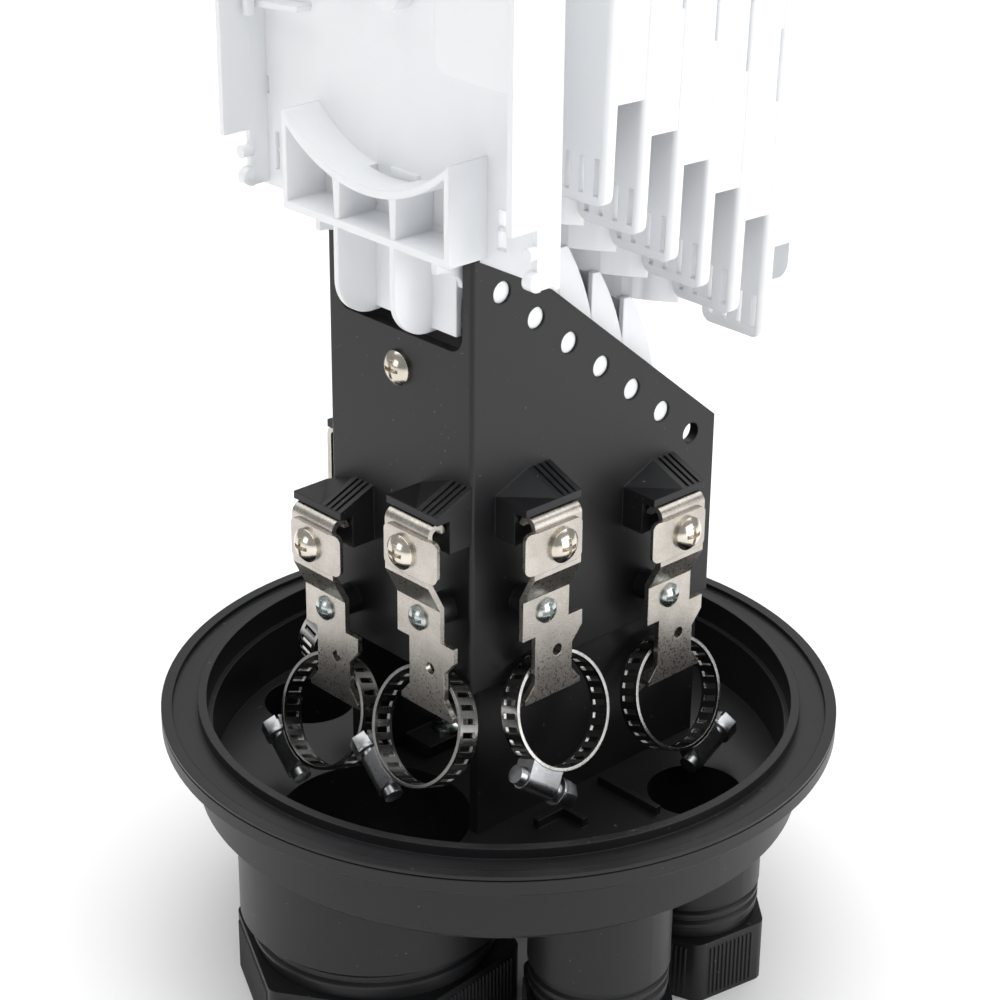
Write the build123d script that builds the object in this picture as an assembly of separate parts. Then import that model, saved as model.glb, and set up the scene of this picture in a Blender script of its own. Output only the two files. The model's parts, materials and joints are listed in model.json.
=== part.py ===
"""Dome splice closure without its dome: a round base with five cable glands, a bracket with
six hinged white trays, a rear cover, and six cable clamps with slotted hose bands.

Millimetres, +Z up, the glands stand on z = 0, the front of the bracket faces -Y.
"""
from build123d import *
import os
from math import atan2, cos, degrees, radians, sin, sqrt, tan

# Base
rim_radius = 80.0
rim_lip_width = 2.6
rim_band_height = 4.4
rim_edge_chamfer = 0.8
seal_channel_depth = 1.2
inner_lip_width = 2.1
inner_lip_rise = 1.3
inner_lip_depth = 5.0
inner_ledge_width = 1.3
rim_overhang = 8.0
body_wall = 4.0
body_depth = 22.0
body_edge_round = 1.5
floor_thickness = 3.0
parting_groove = 0.4
parting_groove_drop = 0.8

# Floor ribs
rib_thickness = 1.6
rib_height = 2.2
rib_y = 9.0
rib_inner_x = 25.0
rib_length = 19.0
angle_rib_x = 28.0
angle_rib_y = -7.0
angle_rib_arm = 8.0

# Glands, one large and four small: centre, collar, thread and bore
large_port_margin = 1.0
side_port_angle = -17.8
side_port_margin = 1.6
rear_port_angle = 29.5
rear_port_margin = 6.9
small_gland = dict(collar=16.3, thread=15.3, bore=11.3, nut_flats=33.0, cable=9.0)
large_gland = dict(collar=32.0, thread=28.5, bore=22.5, nut_flats=60.0, cable=19.0)
collar_length = 19.0
exposed_thread = 9.0
nut_height = 16.0
nut_floor = 4.0
nut_corner_round = 3.0
seal_length = 9.0
seal_shoulder = 1.7
ring_flange = 2.0
ring_sleeve = 6.0
thread_clearance = 0.06
seal_clearance = 0.1

# Turn of each gland nut, as it was left
nut_turns = (34.5, 20.0, 12.0, 20.0, 12.0)

# Bracket
bracket_half_width = 23.44
bracket_front_y = -30.64
bracket_depth = 76.9
bracket_wall = 2.5
bracket_height = 140.0
bracket_corner_round = 1.0
skirt_height = 38.5
skirt_inset = 1.6
leg_front_gap = 3.6
foot_width = 9.0
foot_thickness = 3.0
foot_front_gap = 18.0
foot_screw_inset = 10.0
window_half_width = 20.4
window_bottom_height = 118.7
window_corner_round = 4.0
front_screw_height = 110.0

# Hinge row on the sloping cheeks
hinge_count = 7
first_hinge_y = -22.2
first_hinge_height = 131.5
hinge_pitch = 13.03
hinge_slope = 39.4
cheek_margin = 7.05
pin_radius = 2.5
pin_clearance = 0.05
knuckle_radius = 3.4
knuckle_inner_x = 12.0
knuckle_side_gap = 0.64

# Cable clamps on the walls: place along the wall and height of the pan screw above the floor
front_clamps_x = (-17.0, 15.2)
side_clamps_y = (-15.5, 24.4)
corner_clamp_height = 75.5
outer_clamp_height = 65.3

# Ribbed block above each clamp
block_width = 16.4
block_height = 9.6
block_depth = 6.2
block_lip_depth = 9.8
block_lip_thickness = 1.8
ramp_rise = 4.0
ramp_width = 6.8
ramp_groove_width = 0.7
ramp_groove_depth = 0.6
ramp_groove_count = 3

# Clamp strip, bent from sheet; stand-offs are from the wall to the outer face
strip_thickness = 1.3
strip_width = 14.0
strip_upper_off = 11.4
strip_lower_off = 8.0
strip_roll_radius = 2.5
strip_roll_rise = 5.0
strip_joggle_top = 7.0
strip_joggle_bottom = 13.7
strip_tab_reach = 4.3
strip_tab_top = 21.4
strip_tab_height = 3.6
strip_notch_depth = 23.4
stem_offset = 2.6
stem_width = 11.4
stem_bottom = 38.5
stem_foot_reach = 2.6
stem_foot_height = 3.2
saddle_reach = 4.6
saddle_drop = 4.0
saddle_width = 17.0
zinc_screw_drop = 17.7
boss_radius = 3.6

# Screws
pan_head_radius = 4.0
pan_head_height = 2.6
pan_shank_radius = 2.0
pan_shank_length = 6.4
zinc_head_radius = 2.9
zinc_head_height = 1.7
zinc_shank_radius = 1.5
zinc_shank_length = 7.0
cross_recess_width = 0.9
cross_recess_length = 4.2
cross_recess_depth = 1.2
screw_clearance = 0.06
foot_screw_radius = 2.0

# Clamp plate under the pan screw
plate_length = 16.4
plate_height = 10.0
plate_thickness = 1.2
plate_edge = 6.0
plate_bend_gap = 0.3
plate_bend_angle = 14.0
plate_corner_round = 1.6

# Hose band, hung on a hook of the strip and leaning out at its lower side
band_radius = 13.8
band_thickness = 0.8
band_width = 5.6
band_edge = 0.9
band_slot_width = 1.3
band_slot_count = 28
band_tilt = 21.0
band_top_drop = 30.4
band_top_off = 5.6
dimple_offset = 3.7
hook_width = 2.8
hook_thickness = 1.2
hook_length = 4.6
hook_root = 0.6
hook_clearance = 0.12
dimple_radius = 1.4
dimple_drop = 28.9

# Each band's shift along the wall, its drive's place round it and the turn that sets the head's side
band_places = [
    (0.9, 150.0, 0.0),
    (1.7, 150.0, 0.0),
    (3.7, 142.0, 180.0),
    (2.0, -160.0, 180.0),
    (3.7, 142.0, 180.0),
    (2.0, -160.0, 180.0),
]

# Worm drive of the hose band
housing_length = 9.0
housing_height = 6.2
housing_base_gap = 0.05
worm_radius = 2.2
worm_clearance = 0.08
worm_neck_length = 1.4
worm_head_flats = 6.0
worm_head_length = 4.0
worm_tail_length = 2.0

# Trays
tray_half_width = 45.0
tray_wall = 1.5
tray_front = 3.7
tray_gap = 0.35
tray_recess_bottom = 76.0
tray_recess_height = 15.5
tray_recess_depth = 0.8
tray_lower_edge = 51.0
tray_height = 140.0
tray_lean = 2.0
tab_inner_x = 27.5
tab_bottom = 30.0
tab_corner_round = 2.0
tab_slot_count = 4
tab_slot_pitch = 4.13
tab_slot_width = 1.3
tab_slot_length = 7.8
tab_slot_lift = 2.0
bulge_half_width = 28.7
bulge_front_half_width = 20.0
bulge_depth = 9.5
bulge_round = 8.0
bulge_bottom = 28.0
bulge_top = 50.0
bulge_taper = 0.6
web_half_width = 19.5
web_thickness = 1.4
web_radius = 37.5
web_foot_y = 0.4
web_foot_lift = 0.6
arm_thickness = 2.8

# Rear cover carried by the last tray
cover_lug_reach = 8.6
cover_lug_length = 5.4
cover_lug_round = 2.5
cover_lug_front = 2.4
cover_tie_height = 12.0

# Storage basket on the first hinge; y and z from that hinge
basket_half_width = 46.2
basket_wall = 1.5
basket_back = 5.8
basket_front = 19.3
basket_bottom = 10.4
basket_step_bottom = 22.3
basket_step_depth = 5.5
basket_top = 96.0
cradle_front = 17.8
cradle_half_width = 26.5
cradle_bar = 1.6
cradle_rib_x = 9.0
saddle_end_height = 32.0
saddle_low_height = 21.5
block_inner_x = 24.0
block_bottom = 50.5
small_fin_x = 18.6
small_fin_setback = 3.0
small_fin_drop = 9.5
fin_drop = 10.7
fin_round = 9.0
hub_half_width = 17.4
hub_drop = 9.8
basket_arm_thickness = 3.0
basket_slot_x = 41.4
basket_slot_bottom = 12.9
basket_slot_length = 8.6
basket_peg_radius = 1.4
basket_peg_length = 2.0
basket_peg_heights = (12.0, 17.4)
wide_slot_x = 30.9
slot_width = 1.3
wide_slot_width = 2.7

# Sizes and levels that follow from the ones above
body_radius = rim_radius - rim_overhang
bowl_radius = body_radius - body_wall
collar_bottom_z = nut_height + exposed_thread
body_bottom_z = collar_bottom_z + collar_length
rim_z = body_bottom_z + body_depth
floor_z = body_bottom_z + floor_thickness
tube_end_z = nut_floor + ring_flange
seal_base_z = tube_end_z + ring_sleeve
seal_top_z = seal_base_z + seal_length
bracket_rear_y = bracket_front_y + bracket_depth
bracket_inner_x = bracket_half_width - bracket_wall
knuckle_outer_x = bracket_inner_x - knuckle_side_gap
band_inner_radius = band_radius - band_thickness
plate_bend_at = strip_width / 2 + plate_bend_gap
tray_step = hinge_pitch * cos(radians(hinge_slope - tray_lean))
tray_depth = tray_step - tray_gap
tray_rise = hinge_pitch * sin(radians(hinge_slope - tray_lean))


def hinge_place(index):
    """Centre of a hinge of the row, counted from the front."""
    run = index * hinge_pitch
    y = first_hinge_y + run * cos(radians(hinge_slope))
    z = floor_z + first_hinge_height - run * sin(radians(hinge_slope))
    return y, z


def slab(x0, x1, y0, y1, z0, z1):
    """Box between two corners."""
    low = (min(x0, x1), min(y0, y1), min(z0, z1))
    size = (abs(x1 - x0), abs(y1 - y0), abs(z1 - z0))
    return Pos(*low) * Box(*size, align=(Align.MIN, Align.MIN, Align.MIN))


def post(radius, z0, z1, x=0.0, y=0.0):
    """Upright cylinder between two heights."""
    return Pos(x, y, z0) * Cylinder(radius, z1 - z0, align=(Align.CENTER, Align.CENTER, Align.MIN))


def across(radius, x0, x1, y=0.0, z=0.0):
    """Cylinder along X between two stations."""
    return Pos(x0, y, z) * Rot(0, 90, 0) * post(radius, 0, x1 - x0)


def side_profile(points, half_width):
    """Prism along X, centred on x = 0, of a polygon given as (y, z)."""
    face = Plane.YZ * make_face(Polyline(*points, close=True))
    return extrude(face, amount=half_width, both=True)


def both_sides(shape):
    """The shape and its mirror image across x = 0."""
    return [shape, mirror(shape, Plane.YZ)]


def ports():
    """Place and sizes of each gland."""
    places = [(0.0, large_port_margin + large_gland["collar"] - body_radius, large_gland)]
    for angle, margin in ((side_port_angle, side_port_margin), (rear_port_angle, rear_port_margin)):
        reach = body_radius - small_gland["collar"] - margin
        x, y = reach * cos(radians(angle)), reach * sin(radians(angle))
        places += [(x, y, small_gland), (-x, y, small_gland)]
    return places


def base():
    """Round base: rim with seal channel, floor, collars and threaded tubes."""
    channel_out = rim_radius - rim_lip_width
    lip_in = bowl_radius + inner_ledge_width
    channel_in = lip_in + inner_lip_width
    groove_z = rim_z - parting_groove_drop
    band_z = rim_z - rim_band_height
    outline = [
        (0, body_bottom_z),
        (body_radius - body_edge_round, body_bottom_z),
        (body_radius, body_bottom_z + body_edge_round),
        (body_radius, band_z - rim_edge_chamfer),
        (rim_radius - rim_edge_chamfer, band_z - rim_edge_chamfer),
        (rim_radius, band_z),
        (rim_radius, groove_z - parting_groove),
        (rim_radius - parting_groove, groove_z - parting_groove),
        (rim_radius - parting_groove, groove_z),
        (rim_radius, groove_z),
        (rim_radius, rim_z),
        (channel_out, rim_z),
        (channel_out, rim_z - seal_channel_depth),
        (channel_in, rim_z - seal_channel_depth),
        (channel_in, rim_z + inner_lip_rise),
        (lip_in, rim_z + inner_lip_rise),
        (lip_in, rim_z - inner_lip_depth),
        (bowl_radius, rim_z - inner_lip_depth),
        (bowl_radius, floor_z),
        (0, floor_z),
    ]
    solid = revolve(Plane.XZ * make_face(Polyline(*outline, close=True)), Axis.Z)
    for x, y, gland in ports():
        solid += post(gland["collar"], collar_bottom_z, floor_z - 1, x, y)
        solid += post(gland["thread"], tube_end_z, floor_z - 1, x, y)
    for x, y, gland in ports():
        solid -= post(gland["bore"], 0, rim_z, x, y)
        solid -= post(gland["bore"] + seal_shoulder, 0, seal_top_z, x, y)
    z0, z1 = floor_z - 1, floor_z + rib_height
    rib = slab(rib_inner_x, rib_inner_x + rib_length, rib_y, rib_y + rib_thickness, z0, z1)
    arm = slab(angle_rib_x, angle_rib_x + angle_rib_arm, angle_rib_y, angle_rib_y + rib_thickness, z0, z1)
    leg = slab(angle_rib_x, angle_rib_x + rib_thickness, angle_rib_y - angle_rib_arm, angle_rib_y, z0, z1)
    for piece in (rib, arm, leg):
        solid += both_sides(piece)
    for x, y in foot_screws():
        solid -= post(foot_screw_radius, floor_z - floor_thickness, floor_z + 1, x, y)
    return solid


def gland_nut(gland):
    """Hexagon nut, open above round the threaded tube, with the cable hole in its floor."""
    hexagon = RegularPolygon(gland["nut_flats"] / 2, 6, major_radius=False)
    hexagon = fillet(hexagon.vertices(), nut_corner_round)
    solid = extrude(hexagon, nut_height)
    solid -= post(gland["thread"] + thread_clearance, nut_floor, nut_height + 1)
    return solid - post(gland["cable"], -1, nut_floor + 1)


def pressing_ring(gland):
    """Flanged ring that the nut pushes against the seal."""
    flange = post(gland["thread"] - seal_clearance, nut_floor, tube_end_z)
    sleeve = post(gland["bore"] + seal_shoulder - seal_clearance, nut_floor, seal_base_z)
    return flange + sleeve - post(gland["cable"], 0, rim_z)


def gland_seal(gland):
    """Rubber sleeve between the ring and the shoulder of the bore."""
    outer = post(gland["bore"] + seal_shoulder - seal_clearance, seal_base_z, seal_top_z)
    return outer - post(gland["cable"], 0, rim_z)


def foot_screws():
    """Places of the four screws that hold the bracket down."""
    x = bracket_half_width - skirt_inset - bracket_wall - foot_width / 2
    front = bracket_front_y + foot_front_gap + foot_screw_inset
    rear = bracket_rear_y - skirt_inset - foot_screw_inset
    return [(side * x, y) for side in (1, -1) for y in (front, rear)]


def clamp_frames():
    """Local frame of each clamp: x along the wall, y up, z out of the wall, origin at the pan screw."""
    left_x, right_x = front_clamps_x
    front_y, rear_y = side_clamps_y
    corner_z = floor_z + corner_clamp_height
    outer_z = floor_z + outer_clamp_height
    wall = bracket_half_width
    return [
        Plane((left_x, bracket_front_y, outer_z), x_dir=(1, 0, 0), z_dir=(0, -1, 0)),
        Plane((right_x, bracket_front_y, corner_z), x_dir=(1, 0, 0), z_dir=(0, -1, 0)),
        Plane((wall, front_y, corner_z), x_dir=(0, 1, 0), z_dir=(1, 0, 0)),
        Plane((wall, rear_y, outer_z), x_dir=(0, 1, 0), z_dir=(1, 0, 0)),
        Plane((-wall, front_y, corner_z), x_dir=(0, -1, 0), z_dir=(-1, 0, 0)),
        Plane((-wall, rear_y, outer_z), x_dir=(0, -1, 0), z_dir=(-1, 0, 0)),
    ]


def clamp_block():
    """Ribbed block above a clamp: body, overhanging lip and a grooved ramp on its top."""
    half = block_width / 2
    solid = slab(-half, half, 0, block_height, 0, block_depth)
    solid += slab(-half, half, block_height - block_lip_thickness, block_height, 0, block_lip_depth)
    crest = half - ramp_width
    rise = block_height + ramp_rise
    wedge = [(0, block_height), (0, rise), (block_lip_depth, block_height)]
    ramp_face = Plane((crest, 0, 0), x_dir=(0, 0, 1), z_dir=(-1, 0, 0))
    ramp = extrude(ramp_face * make_face(Polyline(*[(w, v) for w, v in wedge], close=True)), amount=-ramp_width)
    groove_gap = ramp_width / (ramp_groove_count + 1)
    pitch = degrees(atan2(ramp_rise, block_lip_depth))
    for index in range(ramp_groove_count):
        u = crest + groove_gap * (index + 1)
        cutter = Box(ramp_groove_width, 2 * ramp_groove_depth, 3 * block_lip_depth)
        ramp -= Pos(u, rise, 0) * Rot(pitch, 0, 0) * cutter
    corner_a = Vector(-half, block_height, 0)
    corner_b = Vector(crest, rise, 0)
    corner_c = Vector(crest, block_height, block_lip_depth)
    corner_d = Vector(crest, block_height, 0)
    faces = [
        Face(Wire.make_polygon(loop, close=True))
        for loop in (
            (corner_a, corner_b, corner_c),
            (corner_a, corner_b, corner_d),
            (corner_a, corner_c, corner_d),
            (corner_b, corner_c, corner_d),
        )
    ]
    return solid + ramp + Solid(Shell(faces))


def tray_bracket():
    """U-shaped bracket with sloping cheeks, hinge holes, window, legs and the clamps' blocks."""
    top_z = floor_z + bracket_height
    skirt_z = floor_z + skirt_height
    y0, y1 = bracket_front_y, bracket_rear_y
    hinge_y, hinge_z = hinge_place(0)
    slope = tan(radians(hinge_slope))
    margin = cheek_margin / cos(radians(hinge_slope))
    edge_z = lambda y: hinge_z + margin - (y - hinge_y) * slope
    crest_y = hinge_y + (hinge_z + margin - top_z) / slope
    cheek = [(y0, skirt_z), (y0, top_z), (crest_y, top_z), (y1, edge_z(y1)), (y1, skirt_z)]
    solid = side_profile(cheek, bracket_half_width)
    corners = solid.edges().filter_by(Axis.Z).filter_by_position(Axis.Y, y0 - 0.1, y0 + 0.1)
    solid = fillet(corners, bracket_corner_round)
    solid -= slab(-bracket_inner_x, bracket_inner_x, y0 + bracket_wall, y1 + 1, skirt_z - 1, top_z + 1)
    leg_out = bracket_half_width - skirt_inset
    leg_in = leg_out - bracket_wall
    leg_y0 = y0 + leg_front_gap
    leg_y1 = y1 - skirt_inset
    for side in (1, -1):
        solid += slab(side * leg_out, side * leg_in, leg_y0, leg_y1, floor_z, skirt_z + bracket_wall)
        foot_y0 = y0 + foot_front_gap
        foot = slab(side * leg_out, side * (leg_in - foot_width), foot_y0, leg_y1, floor_z, floor_z + foot_thickness)
        solid += foot
    window_z = floor_z + window_bottom_height
    window = Plane.XZ * Rectangle(2 * window_half_width, 2 * (top_z - window_z))
    window = extrude(Pos(0, 0, top_z) * window, amount=2 * bracket_wall, both=True)
    window = fillet(window.edges().filter_by(Axis.Y), window_corner_round)
    solid -= Pos(0, y0, 0) * window
    for index in range(hinge_count):
        y, z = hinge_place(index)
        solid -= across(pin_radius + pin_clearance, -bracket_half_width - 1, bracket_half_width + 1, y, z)
    for frame in clamp_frames():
        boss = post(boss_radius, 0, strip_lower_off - strip_thickness)
        solid += frame.location * clamp_block()
        solid += frame.location * Pos(0, -zinc_screw_drop, 0) * boss
        hole = post(zinc_shank_radius + screw_clearance, -bracket_wall - 1, strip_lower_off)
        solid -= frame.location * Pos(0, -zinc_screw_drop, 0) * hole
    front_hole = post(pan_shank_radius + screw_clearance, -2 * bracket_wall, 1)
    solid -= front_screw_frame().location * front_hole
    for x, y in foot_screws():
        solid -= post(foot_screw_radius + screw_clearance, floor_z - 1, floor_z + foot_thickness + 1, x, y)
    return solid


def front_screw_frame():
    """Frame of the single pan screw on the front wall."""
    origin = (0, bracket_front_y, floor_z + front_screw_height)
    return Plane(origin, x_dir=(1, 0, 0), z_dir=(0, -1, 0))


def domed_screw(head_radius, head_height, shank_radius, shank_length):
    """Screw with a domed cross-recess head above z = 0 and its shank below."""
    rim = head_height * 0.3
    crown = Plane.XZ * (Line((0, 0), (head_radius, 0))
                        + Line((head_radius, 0), (head_radius, rim))
                        + RadiusArc((head_radius, rim), (0, head_height), -dome_radius(head_radius, head_height - rim))
                        + Line((0, head_height), (0, 0)))
    head = revolve(make_face(crown), Axis.Z)
    for turn in (0, 90):
        slot = Box(cross_recess_length, cross_recess_width, 2 * cross_recess_depth)
        head -= Pos(0, 0, head_height) * Rot(0, 0, turn) * slot
    return head + post(shank_radius, -shank_length, 0)


def dome_radius(chord, height):
    """Radius of the arc that rises by a height over a half chord."""
    return (chord * chord + height * height) / (2 * height)


def clamp_strip(band_offset):
    """Bent sheet strip: rolled top, joggle, screw flat with tab and notch, stem, feet and saddle."""
    t = strip_thickness
    up, low = strip_upper_off, strip_lower_off
    half = strip_width / 2
    roll_w = up - strip_roll_radius
    roll = post(strip_roll_radius, -half, half) - post(strip_roll_radius - t, -half - 1, half + 1)
    lower_half = Box(4 * strip_roll_radius, 2 * strip_roll_radius, 2 * strip_width)
    roll -= Pos(0, -strip_roll_radius, 0) * lower_half
    roll = Pos(0, strip_roll_rise, roll_w) * Rot(0, -90, 0) * roll
    side = [
        (up - t, strip_roll_rise), (up, strip_roll_rise), (up, -strip_joggle_top), (low, -strip_joggle_bottom),
        (low, -stem_bottom), (low - t, -stem_bottom), (low - t, -strip_joggle_bottom + t * 0.4),
        (up - t, -strip_joggle_top + t * 0.4),
    ]
    edge_plane = Plane((0, 0, 0), x_dir=(0, 0, 1), z_dir=(-1, 0, 0))
    sheet = extrude(edge_plane * make_face(Polyline(*side, close=True)), amount=half + strip_tab_reach, both=True)
    stem_left = stem_offset - stem_width / 2
    stem_right = stem_offset + stem_width / 2
    foot_top = -stem_bottom + stem_foot_height
    outline = [
        (-half, strip_roll_rise), (half, strip_roll_rise), (half, -strip_tab_top),
        (half + strip_tab_reach, -strip_tab_top), (half + strip_tab_reach, -strip_tab_top - strip_tab_height),
        (stem_right, -strip_tab_top - 2 * strip_tab_height), (stem_right, foot_top),
        (stem_right + stem_foot_reach, -stem_bottom), (stem_left - stem_foot_reach, -stem_bottom),
        (stem_left, foot_top), (stem_left, -strip_notch_depth), (-half, -strip_notch_depth),
    ]
    blank = extrude(make_face(Polyline(*outline, close=True)), amount=up + 1)
    flat = sheet & blank
    centre = stem_offset
    flange = slab(centre - saddle_width / 2, centre + saddle_width / 2, -stem_bottom - t, -stem_bottom,
                  low - saddle_reach, low)
    lip = slab(centre - saddle_width / 2, centre + saddle_width / 2, -stem_bottom - saddle_drop, -stem_bottom - t,
               low - saddle_reach, low - saddle_reach + t)
    arch_radius = saddle_width
    arch_v = -stem_bottom - saddle_drop - arch_radius + saddle_drop * 0.45
    lip -= Pos(centre, arch_v, low - saddle_reach - 1) * post(arch_radius, 0, 3 * t)
    solid = flat + roll + flange + lip
    solid += band_frame(band_offset).location * hook()
    solid -= post(dimple_radius, 0, up + 1, dimple_offset, -dimple_drop)
    solid -= post(pan_shank_radius + screw_clearance, 0, up + 1)
    return solid - post(zinc_shank_radius + screw_clearance, 0, up + 1, 0, -zinc_screw_drop)


def band_frame(offset):
    """Frame of the hose band in the clamp's frame: origin at the centre of its outer face."""
    tilt = radians(band_tilt)
    origin = (offset, -band_top_drop - band_radius * cos(tilt), band_top_off + band_radius * sin(tilt))
    return Plane(origin, x_dir=(1, 0, 0), z_dir=(0, sin(tilt), cos(tilt)))


def hook():
    """Tongue lanced out of the strip that carries the band, in the band's frame."""
    top = band_inner_radius - hook_clearance
    return slab(-hook_width / 2, hook_width / 2, top - hook_thickness, top, -hook_length, hook_root)


def hose_band():
    """Slotted band in its own frame, axis along z, outer face at z = 0."""
    solid = post(band_radius, -band_width, 0) - post(band_inner_radius, -band_width - 1, 1)
    slot_length = band_width - 2 * band_edge
    for index in range(1, band_slot_count):
        slot = Pos(0, band_radius, -band_width / 2) * Box(band_slot_width, 4 * band_thickness, slot_length)
        solid -= Rot(0, 0, 360 * index / band_slot_count) * slot
    return solid


def housing_frame(angle, head_turn):
    """Frame of a worm drive on the band: x tangential to the screw's head, y radial."""
    return Rot(0, 0, angle) * Pos(0, band_radius, -band_width / 2) * Rot(0, head_turn, 0)


def worm_housing():
    """Housing over the band, with a round back and the bore of the worm."""
    half = band_width / 2
    axis_height = housing_height - half
    shell = slab(-housing_length / 2, housing_length / 2, -1, axis_height, -half, half)
    shell += Pos(0, axis_height, 0) * across(half, -housing_length / 2, housing_length / 2)
    shell -= Pos(0, -band_radius, 0) * post(band_radius + housing_base_gap, -band_width, band_width)
    return shell - Pos(0, axis_height, 0) * across(worm_radius + worm_clearance, -housing_length, housing_length)


def worm_screw():
    """Worm with a hexagon head at one end and a short tail at the other."""
    axis_height = housing_height - band_width / 2
    start = -housing_length / 2 - worm_tail_length
    end = housing_length / 2 + worm_neck_length
    shank = across(worm_radius, start, end)
    hexagon = extrude(RegularPolygon(worm_head_flats / 2, 6, major_radius=False), worm_head_length)
    head = Pos(end, 0, 0) * Rot(0, 90, 0) * hexagon
    return Pos(0, axis_height, 0) * (shank + head)


def clamp_plate():
    """Small plate under the pan screw with one end bent back, in the clamp's frame."""
    z0 = strip_upper_off
    flat = slab(-plate_edge, plate_bend_at, -plate_height / 2, plate_height / 2, z0, z0 + plate_thickness)
    wing_length = plate_length - plate_edge - plate_bend_at
    wing = slab(0, wing_length, -plate_height / 2, plate_height / 2, -plate_thickness, 0)
    wing = Pos(plate_bend_at, 0, z0 + plate_thickness) * Rot(0, plate_bend_angle, 0) * wing
    solid = flat + wing
    ends = solid.edges().filter_by(lambda e: abs(e.length - plate_thickness) < 0.02)
    upright = ends.filter_by(lambda e: abs(e.tangent_at(0.5).Y) < 0.01)
    solid = fillet(upright, plate_corner_round)
    return solid - post(pan_shank_radius + screw_clearance, 0, z0 + 2 * plate_thickness)


def knuckles():
    """Hinge knuckles and pins of a tray, centred on the hinge axis."""
    parts = []
    for side in (1, -1):
        x0, x1 = sorted((side * knuckle_inner_x, side * knuckle_outer_x))
        p0, p1 = sorted((side * knuckle_inner_x, side * bracket_half_width))
        parts.append(across(knuckle_radius, x0, x1))
        parts.append(across(pin_radius, p0, p1))
    return parts


def tab_pair(bottom, top, front):
    """Two slotted tabs at the lower corners of a tray plate."""
    width = tray_half_width - tab_inner_x
    tab = Rectangle(width, top - bottom, align=(Align.MIN, Align.MIN))
    lower = tab.vertices().sort_by(Axis.Y)[:2]
    tab = fillet(lower, tab_corner_round)
    first = (width - (tab_slot_count - 1) * tab_slot_pitch) / 2
    for index in range(tab_slot_count):
        x = first + index * tab_slot_pitch
        slot = Rectangle(tab_slot_width, tab_slot_length, align=(Align.CENTER, Align.MIN))
        tab -= Pos(x, tab_slot_lift) * slot
    plate = extrude(Plane.XZ * tab, amount=-tray_wall)
    return both_sides(Pos(tab_inner_x, front, bottom) * plate)


def bulge(depth_in):
    """Forward bulge between the tabs; depth_in shrinks it for the hollow behind its wall."""
    side = bulge_half_width - depth_in
    nose = bulge_front_half_width - depth_in * bulge_taper
    depth = bulge_depth - depth_in
    outline = Polyline((side, 0), (nose, -depth), (-nose, -depth), (-side, 0), close=True)
    face = make_face(outline)
    front = face.vertices().sort_by(Axis.Y)[:2]
    return fillet(front, bulge_round - depth_in)


def web_sheet():
    """Curved sheet from the bulge down to the hinge, and the two arms that reach its knuckles."""
    top = (-bulge_depth - tray_front + web_thickness, bulge_bottom)
    foot = (web_foot_y, knuckle_radius + web_foot_lift)
    back = RadiusArc(top, foot, web_radius)
    shift = (-web_thickness, web_thickness / 3)
    front = RadiusArc(*[(y + shift[0], z + shift[1]) for y, z in (top, foot)], web_radius)
    caps = Line(back @ 1, front @ 1) + Line(back @ 0, front @ 0)
    sheet = extrude(Plane.YZ * make_face(back + front + caps), amount=web_half_width, both=True)
    reach = knuckle_radius + pin_radius
    sheet -= slab(-knuckle_inner_x, knuckle_inner_x, -reach, reach, -knuckle_radius, reach)
    arms = [slab(side * knuckle_inner_x, side * web_half_width, web_foot_y - arm_thickness / 2,
                 web_foot_y + arm_thickness / 2, 0, reach) for side in (1, -1)]
    return sheet + arms


def side_wall(side):
    """Side wall of a tray from its plate back to the next tray, with a recess in its rear edge."""
    x0, x1 = side * tray_half_width, side * (tray_half_width - tray_wall)
    y0, y1 = -tray_front, tray_depth - tray_front
    wall = slab(x0, x1, y0, y1, tray_lower_edge, tray_height)
    recess_top = tray_recess_bottom + tray_recess_height
    return wall - slab(x0, x1, y1 - tray_recess_depth, y1, tray_recess_bottom, recess_top)


def tray_shell():
    """Plate with slotted tabs, side walls and top wall, in a hinge frame."""
    y0 = -tray_front
    top = tray_height
    solid = slab(-tray_half_width, tray_half_width, y0, y0 + tray_wall, bulge_top - tray_wall, top)
    solid += tab_pair(tab_bottom, bulge_top, y0)
    solid += [side_wall(1), side_wall(-1)]
    return solid + slab(-tray_half_width, tray_half_width, y0, y0 + tray_depth, top - tray_wall, top)


def splice_tray():
    """Tray in its hinge frame: shell, bulge, web and pins."""
    y0 = -tray_front
    solid = tray_shell()
    wall = extrude(Pos(0, 0, bulge_bottom) * bulge(0), bulge_top - bulge_bottom)
    hollow = extrude(Pos(0, 0, bulge_bottom - 1) * bulge(tray_wall), bulge_top - bulge_bottom + 1 - tray_wall)
    shell = Pos(0, y0, 0) * (wall - hollow)
    shell += [slab(side * (tab_inner_x - tray_wall), side * bulge_half_width, y0, y0 + tray_wall,
                   tab_bottom, bulge_top) for side in (1, -1)]
    solid += shell
    solid += web_sheet()
    solid += knuckles()
    return Rot(-tray_lean, 0, 0) * solid


def rear_cover():
    """Cover behind the last tray, in the frame of the row's empty hinge."""
    solid = tray_shell()
    y0 = -tray_front
    wall_x = tray_half_width - tray_wall
    tie_y = y0 - tray_gap
    for side in (1, -1):
        x0, x1 = side * tray_half_width, side * wall_x
        for tie_z in (tray_lower_edge + tray_rise, tray_height - cover_tie_height):
            solid += slab(x0, x1, tie_y, y0, tie_z, tie_z + cover_tie_height)
        lug_x = side * (wall_x - tray_wall)
        lug_y0 = y0 + tray_wall + cover_lug_front
        lug = Rectangle(cover_lug_length, 2 * cover_lug_reach, align=(Align.MIN, Align.CENTER))
        lug = fillet(lug.vertices().sort_by(Axis.Y)[:2].sort_by(Axis.X)[-1:], cover_lug_round)
        lug = extrude(Plane.YZ * lug, amount=tray_wall)
        solid += Pos(min(lug_x, side * wall_x), lug_y0, tray_lower_edge) * lug
    return Rot(-tray_lean, 0, 0) * solid


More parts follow.
